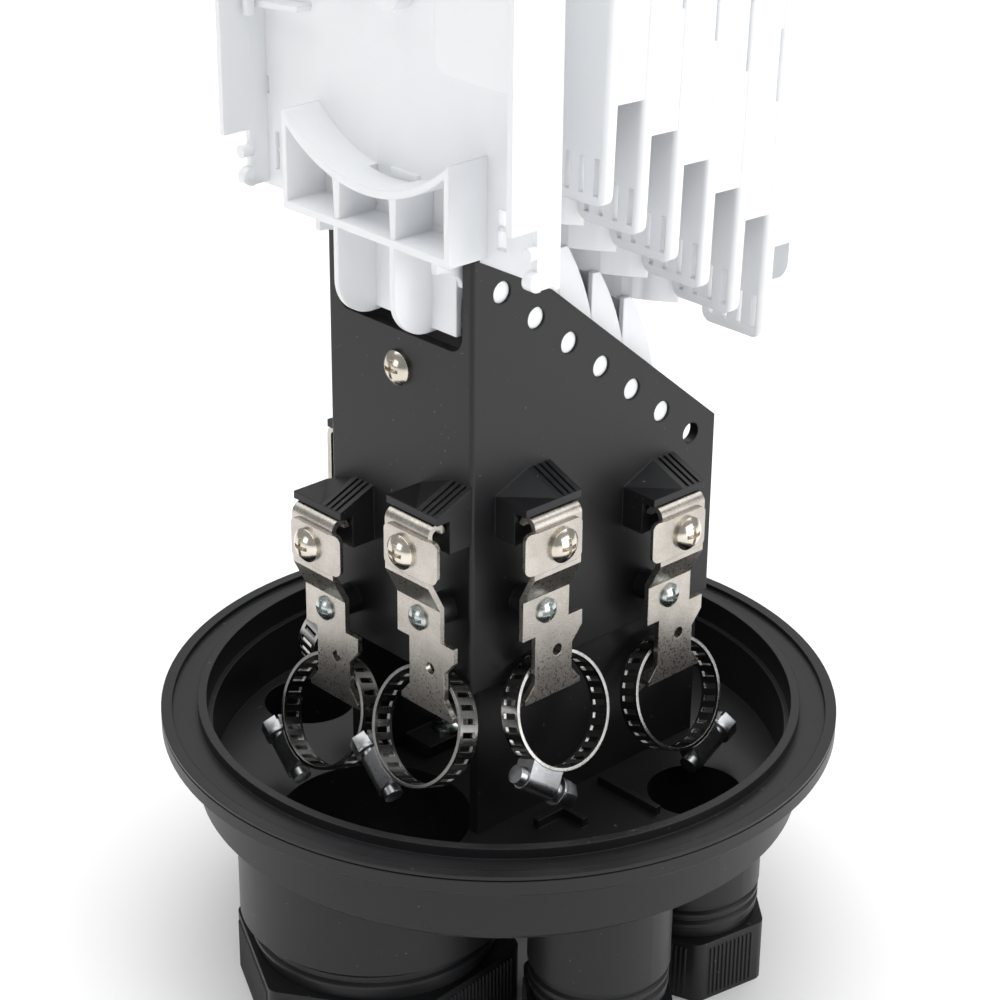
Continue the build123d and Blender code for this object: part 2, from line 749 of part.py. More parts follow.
def cradle():
    """Open frame with a U-shaped saddle on the front of the basket, in the hinge frame."""
    y0, y1 = -cradle_front, -basket_back - basket_wall
    sagitta = saddle_end_height - saddle_low_height
    radius = dome_radius(cradle_half_width, sagitta)
    solid = slab(-cradle_half_width, cradle_half_width, y0, y1, basket_bottom, saddle_end_height)
    inner = cradle_half_width - basket_wall
    solid -= slab(-inner, inner, y0 + basket_wall, y1 + 1, basket_bottom - 1, saddle_end_height + 1)
    solid -= Pos(0, y0, saddle_low_height + radius) * Rot(90, 0, 0) * Cylinder(radius, 3 * cradle_front)
    saddle_shell = Cylinder(radius + cradle_bar, y1 - y0) - Cylinder(radius, y1 - y0 + 2)
    saddle_shell = Pos(0, (y0 + y1) / 2, saddle_low_height + radius) * Rot(90, 0, 0) * saddle_shell
    solid += saddle_shell & slab(-inner, inner, y0, y1, basket_bottom, saddle_end_height)
    solid += slab(-cradle_half_width, cradle_half_width, y0, y1, basket_bottom, basket_bottom + cradle_bar)
    edges = (-inner, -cradle_rib_x, cradle_rib_x, inner)
    for x0, x1 in zip(edges, edges[1:]):
        margin = cradle_bar / 2
        mid = (x0 + x1) / 2
        low = radius - sqrt(radius ** 2 - min(abs(x0), abs(x1)) ** 2) if x0 * x1 > 0 else 0
        window_top = saddle_low_height + low - cradle_bar
        window = slab(x0 + margin, x1 - margin, y0 - 1, y0 + basket_wall + 0.01, basket_bottom + cradle_bar, window_top)
        solid -= window
    for x in (-cradle_rib_x, cradle_rib_x):
        half = basket_wall / 2
        solid += slab(x - half, x + half, y0, y1, basket_bottom, saddle_low_height - cradle_bar / 2)
    return solid


def storage_basket():
    """Storage basket in its hinge frame: back plate, side walls, cradle, raised blocks and fins."""
    back_y = -basket_back
    plate_y = back_y - basket_wall
    half = basket_half_width
    solid = slab(-half, half, plate_y, back_y, basket_bottom, basket_top)
    for side in (1, -1):
        x0, x1 = side * half, side * (half - basket_wall)
        solid += slab(x0, x1, -basket_front, back_y, basket_step_bottom, basket_top)
        solid += slab(x0, x1, back_y - basket_step_depth, back_y, basket_bottom, basket_step_bottom)
        for height in basket_peg_heights:
            peg = Rot(90, 0, 0) * post(basket_peg_radius, -basket_wall, basket_peg_length)
            solid += Pos((x0 + x1) / 2, back_y - basket_step_depth, height) * peg
        for slot_x, width in ((basket_slot_x, slot_width), (wide_slot_x, wide_slot_width)):
            left = side * slot_x - width / 2
            solid -= slab(left, left + width, plate_y - 1, back_y + 1,
                          basket_slot_bottom, basket_slot_bottom + basket_slot_length)
    solid += slab(-half, half, -basket_front, back_y, basket_top - basket_wall, basket_top)
    inner = half - basket_wall
    shell = slab(block_inner_x, inner, -basket_front, plate_y, block_bottom, basket_top)
    shell -= slab(block_inner_x + basket_wall, inner, -basket_front + basket_wall, plate_y,
                  block_bottom + basket_wall, basket_top)
    solid += shell
    solid += cradle()
    for x in (-cradle_rib_x, cradle_rib_x):
        solid += Pos(x, 0, 0) * rib_fin()
    for x in (-small_fin_x, small_fin_x):
        solid += Pos(x, 0, 0) * small_fin()
    solid += slab(-hub_half_width, hub_half_width, plate_y, back_y, -hub_drop, basket_bottom + 2 * basket_wall)
    for side in (1, -1):
        solid += slab(side * knuckle_inner_x, side * hub_half_width, plate_y, 0,
                      -basket_arm_thickness / 2, basket_arm_thickness / 2)
    solid += knuckles()
    return solid


def rib_fin():
    """Large fin that goes on below the bar from a rib of the cradle, in the hinge frame."""
    top = basket_bottom + cradle_bar / 2
    front = -cradle_front
    heel = (-basket_back, -fin_drop)
    toe = (front + fin_round * 0.95, -fin_drop)
    waist = (front + 0.1, -fin_drop + fin_round)
    middle = (front + fin_round * 0.32, -fin_drop + fin_round * 0.28)
    outline = (Line((front, top), waist) + ThreePointArc(waist, middle, toe) + Line(toe, heel)
               + Line(heel, (-basket_back, top)) + Line((-basket_back, top), (front, top)))
    return extrude(Plane.YZ * make_face(outline), amount=basket_wall / 2, both=True)


def small_fin():
    """Small fin at the outer end of the hinge plate, in the hinge frame."""
    top = basket_bottom + cradle_bar / 2
    front = -cradle_front + small_fin_setback
    back = -basket_back
    waist = (front, top - small_fin_drop / 2)
    toe = (back, top - small_fin_drop)
    outline = (Line((front, top), waist) + RadiusArc(waist, toe, small_fin_drop)
               + Line(toe, (back, top)) + Line((back, top), (front, top)))
    return extrude(Plane.YZ * make_face(outline), amount=basket_wall / 2, both=True)


def write(name, shape):
    """Write a sub-part, in its place, as one STEP file."""
    shape.label = name
    export_step(shape, f"parts/{name}.step")


def group(shapes):
    """Several solids as one compound."""
    return Compound(children=list(shapes))


def build():
    os.makedirs("parts", exist_ok=True)
    write("base", base())
    write("tray_bracket", tray_bracket())
    for index, (x, y, gland) in enumerate(ports(), start=1):
        spin = Pos(x, y, 0) * Rot(0, 0, nut_turns[index - 1])
        write(f"gland_nut_{index}", spin * gland_nut(gland))
        write(f"pressing_ring_{index}", Pos(x, y, 0) * pressing_ring(gland))
        write(f"gland_seal_{index}", Pos(x, y, 0) * gland_seal(gland))

    foot_length = floor_thickness + foot_thickness
    foot_screw = domed_screw(pan_head_radius, pan_head_height, foot_screw_radius, foot_length)
    foot_z = floor_z + foot_thickness
    write("bracket_screws", group(Pos(x, y, foot_z) * foot_screw for x, y in foot_screws()))

    frames = clamp_frames()
    pan_screw = domed_screw(pan_head_radius, pan_head_height, pan_shank_radius, pan_shank_length)
    pan_off = strip_upper_off + plate_thickness
    clamp_screws = [frame.location * Pos(0, 0, pan_off) * pan_screw for frame in frames]
    clamp_screws.append(front_screw_frame().location * pan_screw)
    write("clamp_screws", group(clamp_screws))
    zinc_screw = domed_screw(zinc_head_radius, zinc_head_height, zinc_shank_radius, zinc_shank_length)
    zinc_place = Pos(0, -zinc_screw_drop, strip_lower_off)
    write("strip_screws", group(frame.location * zinc_place * zinc_screw for frame in frames))

    plate = clamp_plate()
    band = hose_band()
    housing = worm_housing()
    worm = worm_screw()
    for index, frame in enumerate(frames, start=1):
        offset, angle, head_turn = band_places[index - 1]
        write(f"clamp_strip_{index}", frame.location * clamp_strip(offset))
        flip = 0 if index <= len(front_clamps_x) else 180
        write(f"clamp_plate_{index}", frame.location * Rot(0, 0, flip) * plate)
        ring = frame.location * band_frame(offset).location
        write(f"hose_band_{index}", ring * band)
        drive = ring * housing_frame(angle, head_turn)
        write(f"worm_housing_{index}", drive * housing)
        write(f"worm_screw_{index}", drive * worm)

    for index in range(1, hinge_count - 1):
        y, z = hinge_place(index)
        write(f"splice_tray_{index}", Pos(0, y, z) * splice_tray())
    y, z = hinge_place(0)
    write("storage_basket", Pos(0, y, z) * storage_basket())
    y, z = hinge_place(hinge_count - 1)
    write("rear_cover", Pos(0, y, z) * rear_cover())


build()
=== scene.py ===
"""Looks of the dome splice closure: finishes, threads, ribs, full mouldings, lights and the camera."""

import json
from math import acos, atan2, cos, degrees, pi, radians, sin, tau

import bmesh
import bpy
from mathutils import Matrix, Vector


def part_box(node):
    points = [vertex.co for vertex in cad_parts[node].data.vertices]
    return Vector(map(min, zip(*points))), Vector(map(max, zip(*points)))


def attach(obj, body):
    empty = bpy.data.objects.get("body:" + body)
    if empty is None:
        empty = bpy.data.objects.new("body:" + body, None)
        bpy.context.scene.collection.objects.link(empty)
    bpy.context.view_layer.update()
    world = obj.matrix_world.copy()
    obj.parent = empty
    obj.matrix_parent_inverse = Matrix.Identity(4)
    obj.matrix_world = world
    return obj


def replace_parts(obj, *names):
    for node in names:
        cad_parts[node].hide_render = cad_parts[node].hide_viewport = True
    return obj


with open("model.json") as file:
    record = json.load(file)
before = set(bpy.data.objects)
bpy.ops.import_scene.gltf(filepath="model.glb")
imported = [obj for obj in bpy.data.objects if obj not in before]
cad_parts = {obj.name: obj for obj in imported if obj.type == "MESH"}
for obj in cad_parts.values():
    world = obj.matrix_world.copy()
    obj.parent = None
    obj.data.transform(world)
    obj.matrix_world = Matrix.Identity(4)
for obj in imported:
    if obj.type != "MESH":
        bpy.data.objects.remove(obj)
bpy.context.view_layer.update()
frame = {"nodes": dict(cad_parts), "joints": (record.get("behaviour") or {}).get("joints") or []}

MM = 0.001
nodes = frame["nodes"]
port_count = 5

# Threads of the gland tubes: they show between the nuts and the collars
thread_top = 25.0 * MM
thread_pitch = 2.7 * MM
thread_rise = 0.8 * MM
thread_root_width = 2.3 * MM
thread_crest_width = 0.9 * MM
thread_steps = 96
thread_fade_steps = thread_steps / 5
ring_clearance = 0.1 * MM
root_sink = 0.1 * MM

# Ribs on the flats of the gland nuts
rib_pitch = 1.2 * MM
rib_root_width = 0.8 * MM
rib_top_width = 0.35 * MM
rib_rise = 0.35 * MM
rib_start = 0.9 * MM
rib_end_gap = 1.5 * MM
rib_corner_gap = 2.4 * MM
upright_tilt = 0.01

# Mouldings: angles of rounded and sharp edges, steps of arcs, and overlaps in millimetres
rounded_edge_angle = radians(40)
sharp_edge_angle = radians(35)
rod_steps = 40
heel_steps = 14
nose_steps = 16
front_corner_steps = 10
corner_steps = 8
sink = 0.2
overrun = 1.0
hair = 0.01

# Storage basket in millimetres: x across, y and z from its hinge, front towards minus y
basket_half_width = 46.2
basket_wall = 1.5
basket_front = -19.3
basket_back = -5.8
basket_top = 96.0
plate_front = basket_back - basket_wall
plate_bottom = 8.7
plate_bottom_at_cheeks = 10.4
cheek_reach = 24.4
wall_step_z = 22.3
wall_step_y = -12.2
wall_bottom = 9.5
wall_peg_z = 17.5
wall_peg_radius = 1.45
wall_peg_end = -14.5
wall_foot_top = 13.6
wall_foot_half = 1.25
slot_bottom, slot_top = 12.9, 21.5
slot_places = ((41.4, 1.3), (30.9, 2.7))
slot_bridge = 0.9
slot_recess = 0.6
corner_slit = (29.7, 33.6)
cradle_front = -17.8
cradle_half_width = 26.5
cradle_bottom = 10.2
cradle_bar = 1.8
saddle_low = 21.5
saddle_high = 32.0
saddle_bar = 1.9
saddle_steps = 40
rib_x = 9.0
rib_half_top = 1.25
rib_half_bottom = 0.75
saddle_slot = (-7.5, 6.0, -9.6)
saddle_tab = (-2.4, 6.0, -8.1, 22.9)
fin_bottom = -10.7
fin_heel_radius = 9.0
fin_half = 0.75
small_fin_x = 18.6
small_fin_front = -14.8
small_fin_drop = 9.5
small_fin_nose = 0.5
small_fin_steps = 10
hub_half_width = 17.4
hub_bottom = -9.8
hub_top = 13.4
arm_half_height = 1.5
knuckle_inner_x, knuckle_outer_x = 12.0, 20.3
knuckle_radius = 3.4
pin_end_x = 22.8
pin_radius = 2.45
block_left = 24.0
block_bottom = 50.5
block_corner = 3.5
ledge_outline = ((-45.0, 49.6), (-28.9, 51.0), (-28.3, 52.4), (-45.0, 51.2))
ledge_front = -11.0
ledge_stub = (-43.6, -41.9, -14.0, -12.0, 48.4, 53.0)
top_boss = (0.0, 61.4, 4.6, -11.4)
flush = 0.1
rib_setback = 0.3
peg_root, foot_root = 0.5, 0.6
corner_slit_width = 0.9
basket_edge_round = 0.3

# Splice trays in millimetres, from the hinge of each, before they lean back
tray_count = 5
tray_lean = radians(2.0)
tray_half_width = 45.0
tray_wall = 1.5
tray_front = -3.7
tray_back = 6.3
tray_top = 140.0
tray_wall_bottom = 51.0
tray_recess = (5.5, 76.0, 91.5)
tab_inner_x = 27.5
tab_bottom = 30.0
tab_corner = 2.6
tab_return = 2.4
front_corner_round = 1.8
tab_slot_places = (2.55, 6.68, 10.81, 14.94)
tab_slot_width = 1.3
tab_slot_level = (32.0, 39.8)
bulge_half_width = 28.2
bulge_nose = -13.2
bulge_bottom, bulge_top = 28.0, 50.0
bulge_steps = 48
web_half_width = 19.5
web_top = (-9.4, 28.4)
web_foot = (0.4, 4.0)
web_radius = 60.0
web_wall = 1.1
web_steps = 16
web_gap = (-5.0, 5.0, -5.0, 6.5)
arm_depth = 6.6
arm_wall = 1.3
arm_neck_z = 19.0
arm_setback = 0.3
return_overlap, return_root = 0.5, 0.3
tray_edge_round = 0.5

# Rear cover in millimetres: ties that clip it on the last tray, and its lugs
tie_height = 6.0
tie_half = 0.3
lug_front, lug_length, lug_reach = 3.4, 6.0, 8.4
lug_round = 3.0

# Worm screws of the hose bands in millimetres
worm_count = 6
worm_flats = 6.0
worm_radius = 2.2
worm_flange = 0.9
worm_slot_width = 1.0
worm_slot_depth = 1.3
worm_edge_round = 0.18
flange_gap = 0.02
corner_margin = 0.1

# Camera of the photograph, in the frame's metres, solved from the rim and the bracket
camera_azimuth = radians(47.17)
camera_elevation = radians(24.47)
camera_roll = radians(0.31)
camera_place = Vector((0.3751, -0.3552, 0.3596))
camera_lens = 89.27
camera_shift = (0.0234, -0.0354)
camera_near = 0.01
sensor_width = 36.0

# Studio in metres and watts: name, place, what it looks at, size and power of each light
subject = (0.0, 0.0, 0.15)
lights = (
    ("top", (-0.3, 0.4, 2.2), (-0.3, 0.4, 0.0), (4.0, 4.0), 95.0),
    ("side", (1.15, 0.35, 0.35), subject, (0.9, 0.7), 6.4),
    ("front", (-0.3, -1.2, 0.45), subject, (0.5, 0.5), 1.5),
)
world_strength = 0.33
floor_half = 6.0


def new_material(name):
    """Material, its node tree and its shader."""
    material = bpy.data.materials.new(name)
    material.use_nodes = True
    tree = material.node_tree
    return material, tree, tree.nodes["Principled BSDF"]


def object_coordinates(tree, scale=(1.0, 1.0, 1.0)):
    """Object coordinates, which are the frame's metres, stretched by a scale."""
    coordinates = tree.nodes.new("ShaderNodeTexCoord")
    mapping = tree.nodes.new("ShaderNodeMapping")
    mapping.inputs["Scale"].default_value = scale
    tree.links.new(coordinates.outputs["Object"], mapping.inputs["Vector"])
    return mapping.outputs["Vector"]


def noise(tree, vector, scale, detail=3.0, roughness=0.6):
    """Noise texture value."""
    node = tree.nodes.new("ShaderNodeTexNoise")
    node.inputs["Scale"].default_value = scale
    node.inputs["Detail"].default_value = detail
    node.inputs["Roughness"].default_value = roughness
    tree.links.new(vector, node.inputs["Vector"])
    return node.outputs["Fac"]


def ramp(tree, value, stops):
    """Colour ramp over a value; stops are (position, grey or colour)."""
    node = tree.nodes.new("ShaderNodeValToRGB")
    elements = node.color_ramp.elements
    while len(elements) > 1:
        elements.remove(elements[-1])
    for index, (position, colour) in enumerate(stops):
        element = elements[0] if index == 0 else elements.new(position)
        element.position = position
        full = colour if isinstance(colour, tuple) else (colour, colour, colour)
        element.color = (*full, 1.0)
    tree.links.new(value, node.inputs["Fac"])
    return node.outputs["Color"]


def bump(tree, shader, edge_radius, heights):
    """Soft edges, then a chain of bumps, each given as (height value, strength, distance in metres)."""
    previous = soft_edges(tree, edge_radius)
    for height, strength, distance in heights:
        node = tree.nodes.new("ShaderNodeBump")
        node.inputs["Strength"].default_value = strength
        node.inputs["Distance"].default_value = distance
        tree.links.new(height, node.inputs["Height"])
        tree.links.new(previous, node.inputs["Normal"])
        previous = node.outputs["Normal"]
    tree.links.new(previous, shader.inputs["Normal"])


def soft_edges(tree, radius):
    """Normal that rounds off sharp edges by a radius in metres."""
    node = tree.nodes.new("ShaderNodeBevel")
    node.samples = 4
    node.inputs["Radius"].default_value = radius
    return node.outputs["Normal"]


def moulded_black():
    """Satin black moulding with fine grain, flow clouds and dust specks."""
    material, tree, shader = new_material("moulded_black")
    place = object_coordinates(tree)
    clouds = noise(tree, place, 18.0, 4.0)
    specks = noise(tree, place, 900.0, 2.0, 0.4)
    dust = ramp(tree, specks, [(0.0, 0.0), (0.74, 0.0), (0.80, 1.0)])
    mix = tree.nodes.new("ShaderNodeMix")
    mix.data_type = "RGBA"
    shades = ramp(tree, clouds, [(0.3, (0.008, 0.008, 0.009)), (0.75, (0.012, 0.0125, 0.014))])
    tree.links.new(shades, mix.inputs["A"])
    mix.inputs["B"].default_value = (0.10, 0.10, 0.10, 1.0)
    tree.links.new(dust, mix.inputs["Factor"])
    tree.links.new(mix.outputs["Result"], shader.inputs["Base Color"])
    tree.links.new(ramp(tree, clouds, [(0.25, 0.36), (0.8, 0.47)]), shader.inputs["Roughness"])
    shader.inputs["Specular IOR Level"].default_value = 0.36
    grain = noise(tree, place, 2600.0, 2.0, 0.5)
    bump(tree, shader, 0.35 * MM, [(clouds, 0.25, 0.0004), (grain, 0.12, 0.00006)])
    return material


def metal(name, tint, dark_tint, rough, speckle=0.25):
    """Plated metal: fine speckle, soft blotches in the plating and rounded edges."""
    material, tree, shader = new_material(name)
    shader.inputs["Metallic"].default_value = 1.0
    place = object_coordinates(tree)
    blotch = noise(tree, place, 130.0, 4.0)
    grain = noise(tree, place, 1500.0, 3.0, 0.75)
    tree.links.new(ramp(tree, blotch, [(0.3, dark_tint), (0.65, tint)]), shader.inputs["Base Color"])
    low, high = rough
    tree.links.new(ramp(tree, grain, [(0.3, low), (0.7, high)]), shader.inputs["Roughness"])
    bump(tree, shader, 0.2 * MM, [(blotch, 0.12, 0.0001), (grain, speckle, 0.00003)])
    return material


def white_plastic():
    """Cool white moulding with a soft gloss, faint flow marks and a little light inside."""
    material, tree, shader = new_material("white_plastic")
    place = object_coordinates(tree)
    flow = noise(tree, object_coordinates(tree, (1.0, 1.0, 0.35)), 26.0, 3.0)
    fine = noise(tree, place, 420.0, 2.0)
    shades = ramp(tree, flow, [(0.3, (0.87, 0.89, 0.92)), (0.7, (0.92, 0.93, 0.945))])
    tree.links.new(shades, shader.inputs["Base Color"])
    tree.links.new(ramp(tree, flow, [(0.3, 0.27), (0.75, 0.36)]), shader.inputs["Roughness"])
    shader.inputs["Subsurface Weight"].default_value = 0.35
    shader.inputs["Subsurface Radius"].default_value = (0.007, 0.007, 0.008)
    shader.inputs["Coat Weight"].default_value = 0.15
    shader.inputs["Coat Roughness"].default_value = 0.2
    bump(tree, shader, 0.5 * MM, [(flow, 0.12, 0.0004), (fine, 0.06, 0.00005)])
    return material


def shaded_grey_plastic():
    """Grey moulding of the rear cover's lugs, a little see-through; its grey is painted shade, white
    moulding darkened as if the lugs stood unlit.
    """
    material, tree, shader = new_material("shaded_grey_plastic")
    flow = noise(tree, object_coordinates(tree), 60.0, 2.0)
    # Grey base colour: painted shade on what is white moulding
    shades = ramp(tree, flow, [(0.3, (0.40, 0.42, 0.44)), (0.7, (0.46, 0.48, 0.50))])
    tree.links.new(shades, shader.inputs["Base Color"])
    shader.inputs["Roughness"].default_value = 0.3
    shader.inputs["Subsurface Weight"].default_value = 0.2
    shader.inputs["Subsurface Radius"].default_value = (0.003, 0.003, 0.003)
    bump(tree, shader, 0.3 * MM, [(flow, 0.1, 0.0002)])
    return material


def rubber():
    """Dull black rubber."""
    material, tree, shader = new_material("seal_rubber")
    place = object_coordinates(tree)
    grain = noise(tree, place, 1500.0, 3.0)
    tree.links.new(ramp(tree, grain, [(0.3, 0.010), (0.8, 0.022)]), shader.inputs["Base Color"])
    shader.inputs["Roughness"].default_value = 0.75
    bump(tree, shader, 0.2 * MM, [(grain, 0.3, 0.0001)])
    return material


def backdrop():
    """Plain pale floor."""
    material, tree, shader = new_material("pale_floor")
    place = object_coordinates(tree)
    cloud = noise(tree, place, 2.0, 2.0)
    tree.links.new(ramp(tree, cloud, [(0.3, 0.93), (0.8, 0.95)]), shader.inputs["Base Color"])
    shader.inputs["Roughness"].default_value = 0.9
    return material


finishes = {
    "black": moulded_black(),
    "white": white_plastic(),
    "shaded_grey": shaded_grey_plastic(),
    "rubber": rubber(),
    "nickel": metal("nickel_sheet", (0.56, 0.525, 0.48), (0.44, 0.41, 0.37), (0.22, 0.40), 0.5),
    "nickel_screw": metal("nickel_screw", (0.78, 0.73, 0.65), (0.60, 0.55, 0.47), (0.13, 0.22)),
    "zinc": metal("zinc_screw", (0.60, 0.64, 0.63), (0.46, 0.50, 0.49), (0.18, 0.30)),
    "worm": metal("worm_steel", (0.46, 0.47, 0.48), (0.30, 0.31, 0.32), (0.26, 0.40)),
    "stainless": metal("stainless_band", (0.42, 0.41, 0.40), (0.26, 0.26, 0.25), (0.16, 0.28)),
}


def finish_of(node):
    """Finish of a node of the frame, by its name."""
    table = (
        ("gland_seal", "rubber"), ("clamp_strip", "nickel"), ("clamp_plate", "nickel"),
        ("clamp_screws", "nickel_screw"), ("strip_screws", "zinc"), ("bracket_screws", "zinc"),
        ("hose_band", "stainless"), ("worm", "worm"), ("splice_tray", "white"),
        ("storage_basket", "white"), ("rear_cover", "white"),
    )
    for start, finish in table:
        if node.startswith(start):
            return finish
    return "black"


def dress_nodes():
    """Give every node of the frame its finish."""
    for name, thing in nodes.items():
        thing.data.materials.clear()
        thing.data.materials.append(finishes[finish_of(name)])


def new_piece(name, vertices, faces, finish, body):
    """Mesh piece that rides on a body."""
    mesh = bpy.data.meshes.new(name)
    mesh.from_pydata(vertices, [], faces)
    mesh.update()
    mesh.materials.append(finishes[finish])
    piece = bpy.data.objects.new(name, mesh)
    bpy.context.scene.collection.objects.link(piece)
    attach(piece, body)
    return piece


def port_axis(index):
    """Centre of a port, its thread's radius and where its nut ends, from the nodes of the frame."""
    low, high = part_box(f"gland_nut_{index}")
    ring_low, ring_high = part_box(f"pressing_ring_{index}")
    x, y = (low[0] + high[0]) / 2, (low[1] + high[1]) / 2
    return x, y, (ring_high[0] - ring_low[0]) / 2 + ring_clearance, high[2]


def add_thread(index):
    """Trapezoid thread round a gland tube, faded out at both ends."""
    x, y, radius, nut_top = port_axis(index)
    half = thread_root_width / 2
    start, end = nut_top + half, thread_top - half
    count = int((end - start) / thread_pitch * thread_steps)
    vertices, faces = [], []
    for step in range(count + 1):
        angle = tau * step / thread_steps
        z = start + thread_pitch * step / thread_steps
        crest = thread_rise * min(1.0, step / thread_fade_steps, (count - step) / thread_fade_steps)
        profile = (
            (radius - root_sink, -half),
            (radius + crest, -thread_crest_width / 2),
            (radius + crest, thread_crest_width / 2),
            (radius - root_sink, half),
        )
        for reach, shift in profile:
            vertices.append((x + reach * cos(angle), y + reach * sin(angle), z + shift))
        if step:
            first = 4 * (step - 1)
            for side in range(3):
                corner = first + side
                faces.append((corner, corner + 4, corner + 5, corner + 1))
    new_piece(f"port_thread_{index}", vertices, faces, "black", "body")


def flat_of(node, centre):
    """Angle and apothem of one flat of a nut, from its largest outward upright face."""
    best = (0.0, 0.0, 0.0)
    for face in nodes[node].data.polygons:
        outward = (face.center - centre).dot(face.normal)
        if abs(face.normal.z) < upright_tilt and outward > 0 and face.area > best[0]:
            best = (face.area, atan2(face.normal.y, face.normal.x), outward)
    return best[1], best[2]


def add_nut_ribs(index):
    """Fine upright ribs on the six flats of a gland nut."""
    x, y, _, nut_top = port_axis(index)
    turn, apothem = flat_of(f"gland_nut_{index}", Vector((x, y, 0.0)))
    reach = apothem * sin(pi / 6) / cos(pi / 6) - rib_corner_gap
    count = int(reach / rib_pitch)
    bottom, top = rib_start, nut_top - rib_end_gap
    vertices, faces = [], []
    for flat in range(6):
        angle = turn + flat * pi / 3
        outward = Vector((cos(angle), sin(angle), 0.0))
        along = Vector((-sin(angle), cos(angle), 0.0))
        for rib in range(-count, count + 1):
            foot = Vector((x, y, 0.0)) + outward * (apothem - root_sink) + along * rib * rib_pitch
            first = len(vertices)
            for z, inset in ((bottom, rib_rise), (top, -rib_rise)):
                for side, width, rise in (
                    (-1, rib_root_width, 0.0), (-1, rib_top_width, rib_rise),
                    (1, rib_top_width, rib_rise), (1, rib_root_width, 0.0),
                ):
                    lift = z + (inset if rise else 0.0)
                    out = rise + root_sink if rise else 0.0
                    raised = Vector((0.0, 0.0, lift))
                    vertices.append(foot + outward * out + along * side * width / 2 + raised)
            for side in range(3):
                corner = first + side
                faces.append((corner, corner + 1, corner + 5, corner + 4))
            faces.append((first + 3, first + 2, first + 1, first))
            faces.append((first + 4, first + 5, first + 6, first + 7))
    new_piece(f"nut_ribs_{index}", vertices, faces, "black", f"nut_{index}")


def outline_mesh(outline, axis, start, end):
    """Closed prism in millimetres: an outline in the plane across an axis, from start to end."""
    shape = bmesh.new()
    ends = []
    for level in (start, end):
        corners = []
        for first, second in outline:
            place = [first, second]
            place.insert("xyz".index(axis), level)
            corners.append(shape.verts.new(place))
        ends.append(corners)
    count = len(outline)
    for index in range(count):
        after = (index + 1) % count
        shape.faces.new((ends[0][index], ends[0][after], ends[1][after], ends[1][index]))
    shape.faces.new(ends[0])
    shape.faces.new(ends[1])
    bmesh.ops.recalc_face_normals(shape, faces=shape.faces)
    mesh = bpy.data.meshes.new("prism")
    shape.to_mesh(mesh)
    shape.free()
    return mesh


def block(x0, x1, y0, y1, z0, z1):
    """Closed block between two corners."""
    return outline_mesh(((x0, y0), (x1, y0), (x1, y1), (x0, y1)), "z", z0, z1)


def arc_points(centre, radius, start, end, steps):
    """Points on an arc between two angles in degrees."""
    points = []
    for step in range(steps + 1):
        angle = radians(start + (end - start) * step / steps)
        points.append((centre[0] + radius * cos(angle), centre[1] + radius * sin(angle)))
    return points


def rod(axis, centre, radius, start, end):
    """Closed round rod along an axis."""
    circle = arc_points(centre, radius, 0, 360 - 360 / rod_steps, rod_steps - 1)
    return outline_mesh(circle, axis, start, end)


def mirrored(outline, side):
    """Outline on one side of the middle: 1 keeps it, -1 mirrors it."""
    return [(side * across, along) for across, along in outline]


def carved(name, added, removed, edge_round):
    """One closed mesh: prisms joined, others cut away, edges rounded. All in millimetres."""
    scene = bpy.context.scene
    things = []
    for mesh in added + removed:
        thing = bpy.data.objects.new("prism", mesh)
        scene.collection.objects.link(thing)
        things.append(thing)
    first = things[0]
    collections = []
    for operation, members in (("UNION", things[1:len(added)]), ("DIFFERENCE", things[len(added):])):
        group = bpy.data.collections.new(operation)
        collections.append(group)
        for member in members:
            group.objects.link(member)
        modifier = first.modifiers.new(operation, "BOOLEAN")
        modifier.operation = operation
        modifier.operand_type = "COLLECTION"
        modifier.collection = group
        modifier.solver = "EXACT"
    edges = first.modifiers.new("edges", "BEVEL")
    edges.width = edge_round
    edges.segments = 2
    edges.limit_method = "ANGLE"
    edges.angle_limit = rounded_edge_angle
    mesh = bpy.data.meshes.new_from_object(first.evaluated_get(bpy.context.evaluated_depsgraph_get()))
    mesh.name = name
    for thing in things:
        bpy.data.objects.remove(thing)
    for group in collections:
        bpy.data.collections.remove(group)
    return mesh


def saddle_arc(drop):
    """Points of the saddle's curve across the cradle, lowered by a drop."""
    rise = saddle_high - saddle_low
    radius = (cradle_half_width ** 2 + rise ** 2) / (2 * rise)
    points = []
    for step in range(saddle_steps + 1):
        x = cradle_half_width * (2 * step / saddle_steps - 1)
        points.append((x, saddle_low + radius - (radius ** 2 - x ** 2) ** 0.5 - drop))
    return points


def long_fin_outline():
    """Side view of a long fin under the cradle."""
    top, back = cradle_bottom + cradle_bar / 2, basket_back - sink
    middle = (cradle_front + fin_heel_radius, fin_bottom + fin_heel_radius)
    heel = arc_points(middle, fin_heel_radius, 180, 270, heel_steps)
    return [(cradle_front, top)] + heel + [(back, fin_bottom), (back, cradle_bottom)]


def small_fin_outline():
    """Side view of a small fin beside the long ones."""
    top, back = cradle_bottom + cradle_bar / 2, basket_back - sink
    reach = plate_front - small_fin_front
    curve = []
    for step in range(small_fin_steps + 1):
        angle = pi / 2 * step / small_fin_steps
        drop = small_fin_drop * (1 - small_fin_nose * cos(angle))
        curve.append((small_fin_front + reach * sin(angle), top - drop))
    return [(small_fin_front, top)] + curve + [(back, top - small_fin_drop), (back, top)]


